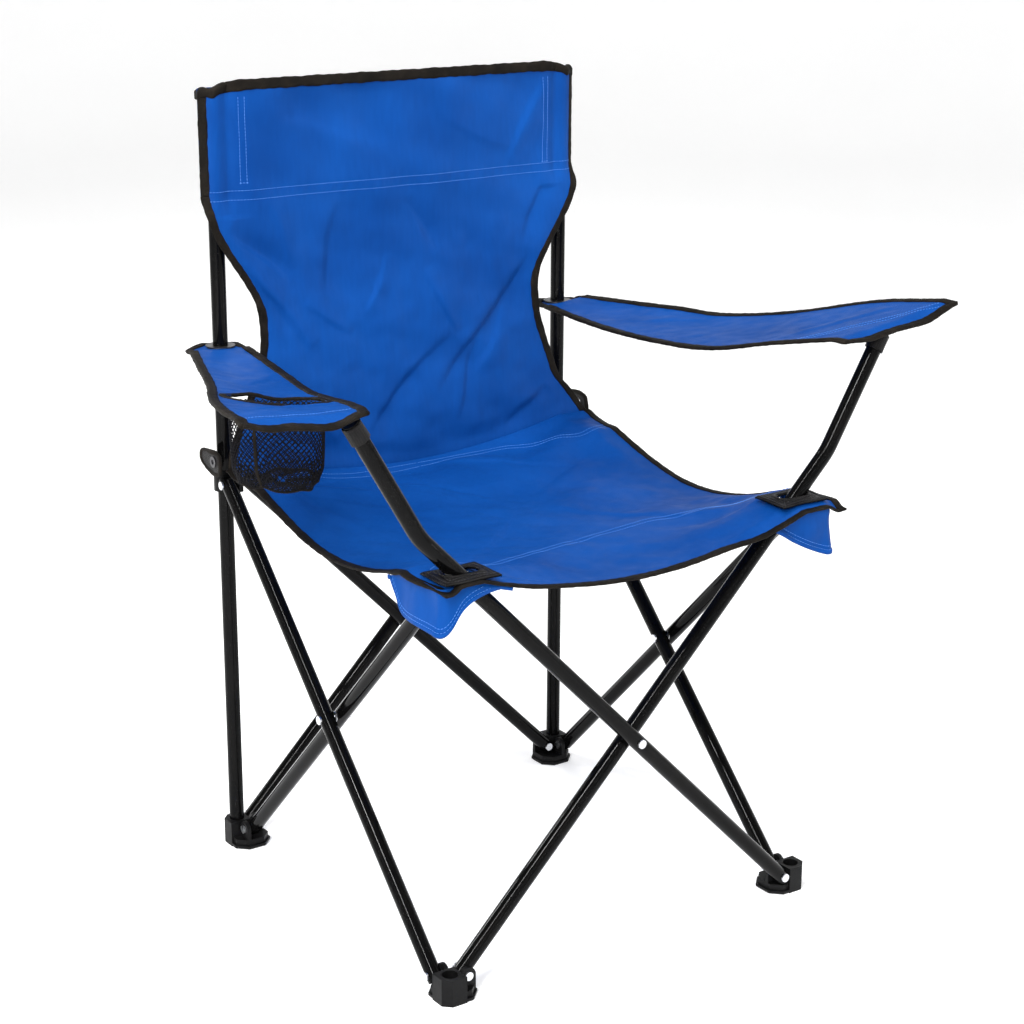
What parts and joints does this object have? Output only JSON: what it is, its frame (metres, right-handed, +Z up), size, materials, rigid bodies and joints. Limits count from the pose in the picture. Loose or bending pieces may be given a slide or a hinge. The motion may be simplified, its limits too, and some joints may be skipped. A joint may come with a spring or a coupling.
{
  "type": "folding camp chair",
  "caption": "Folding camp chair: a cloth sling seat and back on crossed steel tubes, with cloth armrests and a net cup holder.",
  "frame": {"origin": "on the floor at the middle of the chair's bounding box", "axes": "+Z up, the sitter faces -Y, +X is to the right of someone who looks at the chair's front"},
  "size_m": [0.837, 0.491, 0.829],
  "materials": {
    "blue_cloth": "coated plain-weave polyester, dull sheen",
    "webbing": "woven black tape",
    "net": "open black knitted net",
    "tube_paint": "glossy black powder coat",
    "black_plastic": "satin moulded",
    "rivet_steel": "bright zinc plate"
  },
  "bodies": {
    "left_post_frame": {"rear_left_foot": "black_plastic", "rear_left_foot_rivets": "rivet_steel", "left_post": "tube_paint", "left_post_cap": "black_plastic", "left_sleeve": "blue_cloth", "backrest": "blue_cloth"},
    "left_heel": {"left_arm_heel": "blue_cloth", "left_arm_eyelet": "rivet_steel"},
    "left_inner": {"left_inner_tube": "tube_paint", "left_centre_rivet": "rivet_steel"},
    "left_outer": {"left_outer_tube": "tube_paint"},
    "front_left_foot": {"front_left_foot": "black_plastic", "front_left_foot_rivets": "rivet_steel"},
    "left_slider": {"left_slider": "black_plastic", "left_slider_rivets": "rivet_steel", "left_corner_tab": "webbing", "left_tab_eyelet": "rivet_steel"},
    "front_left_hub": {"front_left_hub": "black_plastic", "front_left_hub_rivets": "rivet_steel", "left_corner_patch": "webbing", "left_corner_pocket": "blue_cloth"},
    "front_inner": {"front_inner_tube": "tube_paint", "front_centre_rivet": "rivet_steel", "right_arm_cap": "black_plastic", "right_arm_pocket": "webbing"},
    "front_outer": {"front_outer_tube": "tube_paint", "left_arm_cap": "black_plastic", "left_arm_pocket": "webbing"},
    "front_right_foot": {"front_right_foot": "black_plastic", "front_right_foot_rivets": "rivet_steel"},
    "front_right_hub": {"front_right_hub": "black_plastic", "front_right_hub_rivets": "rivet_steel", "right_corner_patch": "webbing", "right_corner_pocket": "blue_cloth"},
    "back_outer": {"back_outer_tube": "tube_paint"},
    "right_slider": {"right_slider": "black_plastic", "right_slider_rivets": "rivet_steel", "right_corner_tab": "webbing", "right_tab_eyelet": "rivet_steel"},
    "back_inner": {"back_inner_tube": "tube_paint", "back_centre_rivet": "rivet_steel"},
    "right_post_frame": {"rear_right_foot": "black_plastic", "rear_right_foot_rivets": "rivet_steel", "right_post": "tube_paint", "right_post_cap": "black_plastic", "right_sleeve": "blue_cloth"},
    "right_heel": {"right_arm_heel": "blue_cloth", "right_arm_eyelet": "rivet_steel"},
    "right_outer": {"right_outer_tube": "tube_paint"},
    "right_inner": {"right_inner_tube": "tube_paint", "right_centre_rivet": "rivet_steel"},
    "left_seat": {"left_seat": "blue_cloth"},
    "right_seat": {"right_seat": "blue_cloth"},
    "left_armrest": {"left_armrest": "blue_cloth", "cup_bag": "net", "cup_rim": "webbing"},
    "right_armrest": {"right_armrest": "blue_cloth"}
  },
  "joints": [
    {"name": "fold", "type": "hinge", "parent": "left_post_frame", "child": "left_inner", "pos_m": [-0.206, 0.197, 0.0214], "axis": [-1, 0, 0], "range_deg": [0, 38]},
    {"name": "left_scissor", "type": "hinge", "parent": "left_inner", "child": "left_outer", "pos_m": [-0.2145, 0, 0.2205], "axis": [1, 0, 0], "range_deg": [0, 76]},
    {"name": "front_left_foot_pivot", "type": "hinge", "parent": "left_outer", "child": "front_left_foot", "pos_m": [-0.223, -0.197, 0.0214], "axis": [-1, 0, 0], "range_deg": [0, 38]},
    {"name": "left_slider_pivot", "type": "hinge", "parent": "left_outer", "child": "left_slider", "pos_m": [-0.223, 0.197, 0.4196], "axis": [-1, 0, 0], "range_deg": [0, 38]},
    {"name": "front_left_hub_pivot", "type": "hinge", "parent": "left_inner", "child": "front_left_hub", "pos_m": [-0.206, -0.197, 0.4196], "axis": [1, 0, 0], "range_deg": [0, 38]},
    {"name": "front_inner_pivot", "type": "hinge", "parent": "front_left_foot", "child": "front_inner", "pos_m": [-0.197, -0.206, 0.0214], "axis": [0, -1, 0], "range_deg": [0, 38]},
    {"name": "front_scissor", "type": "hinge", "parent": "front_inner", "child": "front_outer", "pos_m": [0, -0.2145, 0.2205], "axis": [0, 1, 0], "range_deg": [0, 76]},
    {"name": "front_right_foot_pivot", "type": "hinge", "parent": "front_outer", "child": "front_right_foot", "pos_m": [0.197, -0.223, 0.0214], "axis": [0, -1, 0], "range_deg": [0, 38]},
    {"name": "front_right_hub_pivot", "type": "hinge", "parent": "front_inner", "child": "front_right_hub", "pos_m": [0.197, -0.206, 0.4196], "axis": [0, 1, 0], "range_deg": [0, 38]},
    {"name": "back_outer_pivot", "type": "hinge", "parent": "left_post_frame", "child": "back_outer", "pos_m": [-0.197, 0.223, 0.0214], "axis": [0, -1, 0], "range_deg": [0, 38]},
    {"name": "right_slider_pivot", "type": "hinge", "parent": "back_outer", "child": "right_slider", "pos_m": [0.197, 0.223, 0.4196], "axis": [0, 1, 0], "range_deg": [0, 38]},
    {"name": "back_scissor", "type": "hinge", "parent": "back_outer", "child": "back_inner", "pos_m": [0, 0.2145, 0.2205], "axis": [0, 1, 0], "range_deg": [0, 76], "deforming": ["backrest"]},
    {"name": "rear_right_foot_pivot", "type": "hinge", "parent": "back_inner", "child": "right_post_frame", "pos_m": [0.197, 0.206, 0.0214], "axis": [0, -1, 0], "range_deg": [0, 38]},
    {"name": "right_outer_pivot", "type": "hinge", "parent": "right_post_frame", "child": "right_outer", "pos_m": [0.223, 0.197, 0.0214], "axis": [-1, 0, 0], "range_deg": [0, 38]},
    {"name": "right_scissor", "type": "hinge", "parent": "right_outer", "child": "right_inner", "pos_m": [0.2145, 0, 0.2205], "axis": [1, 0, 0], "range_deg": [0, 76]},
    {"name": "left_seat_fold", "type": "hinge", "parent": "front_left_hub", "child": "left_seat", "pos_m": [-0.235, -0.206, 0.428], "axis": [0, -1, 0], "range_deg": [0, 79.42], "deforming": ["left_seat"]},
    {"name": "right_seat_fold", "type": "hinge", "parent": "front_right_hub", "child": "right_seat", "pos_m": [0.235, -0.206, 0.428], "axis": [0, 1, 0], "range_deg": [0, 79.42], "deforming": ["right_seat"]},
    {"name": "left_heel_slide", "type": "slide", "parent": "left_post_frame", "child": "left_heel", "axis": [0, 0, 1], "range_m": [0, 0.05969]},
    {"name": "right_heel_slide", "type": "slide", "parent": "right_post_frame", "child": "right_heel", "axis": [0, 0, 1], "range_m": [0, 0.05969]},
    {"name": "left_armrest_fold", "type": "hinge", "parent": "left_heel", "child": "left_armrest", "pos_m": [-0.217, 0.201, 0.565], "axis": [-0.7227, 0.5338, 0.4391], "range_deg": [0, 63.5], "deforming": ["left_armrest", "cup_bag", "cup_rim"]},
    {"name": "right_armrest_fold", "type": "hinge", "parent": "right_heel", "child": "right_armrest", "pos_m": [0.217, 0.201, 0.565], "axis": [-0.7246, -0.5631, -0.3975], "range_deg": [0, 67.53], "deforming": ["right_armrest"]}
  ],
  "couplings": [
    {"joint": "left_scissor", "follows": "fold", "ratio": 2},
    {"joint": "front_left_foot_pivot", "follows": "fold", "ratio": 1},
    {"joint": "left_slider_pivot", "follows": "fold", "ratio": 1},
    {"joint": "front_left_hub_pivot", "follows": "fold", "ratio": 1},
    {"joint": "front_inner_pivot", "follows": "fold", "ratio": 1},
    {"joint": "front_scissor", "follows": "fold", "ratio": 2},
    {"joint": "front_right_foot_pivot", "follows": "fold", "ratio": 1},
    {"joint": "front_right_hub_pivot", "follows": "fold", "ratio": 1},
    {"joint": "back_outer_pivot", "follows": "fold", "ratio": 1},
    {"joint": "right_slider_pivot", "follows": "fold", "ratio": 1},
    {"joint": "back_scissor", "follows": "fold", "ratio": 2},
    {"joint": "rear_right_foot_pivot", "follows": "fold", "ratio": 1},
    {"joint": "right_outer_pivot", "follows": "fold", "ratio": 1},
    {"joint": "right_scissor", "follows": "fold", "ratio": 2},
    {"joint": "left_seat_fold", "follows": "fold", "ratio": 2.09},
    {"joint": "right_seat_fold", "follows": "fold", "ratio": 2.09},
    {"joint": "left_heel_slide", "follows": "fold", "m_per_rad": 0.09},
    {"joint": "right_heel_slide", "follows": "fold", "m_per_rad": 0.09},
    {"joint": "left_armrest_fold", "follows": "fold", "ratio": 1.671},
    {"joint": "right_armrest_fold", "follows": "fold", "ratio": 1.777}
  ]
}
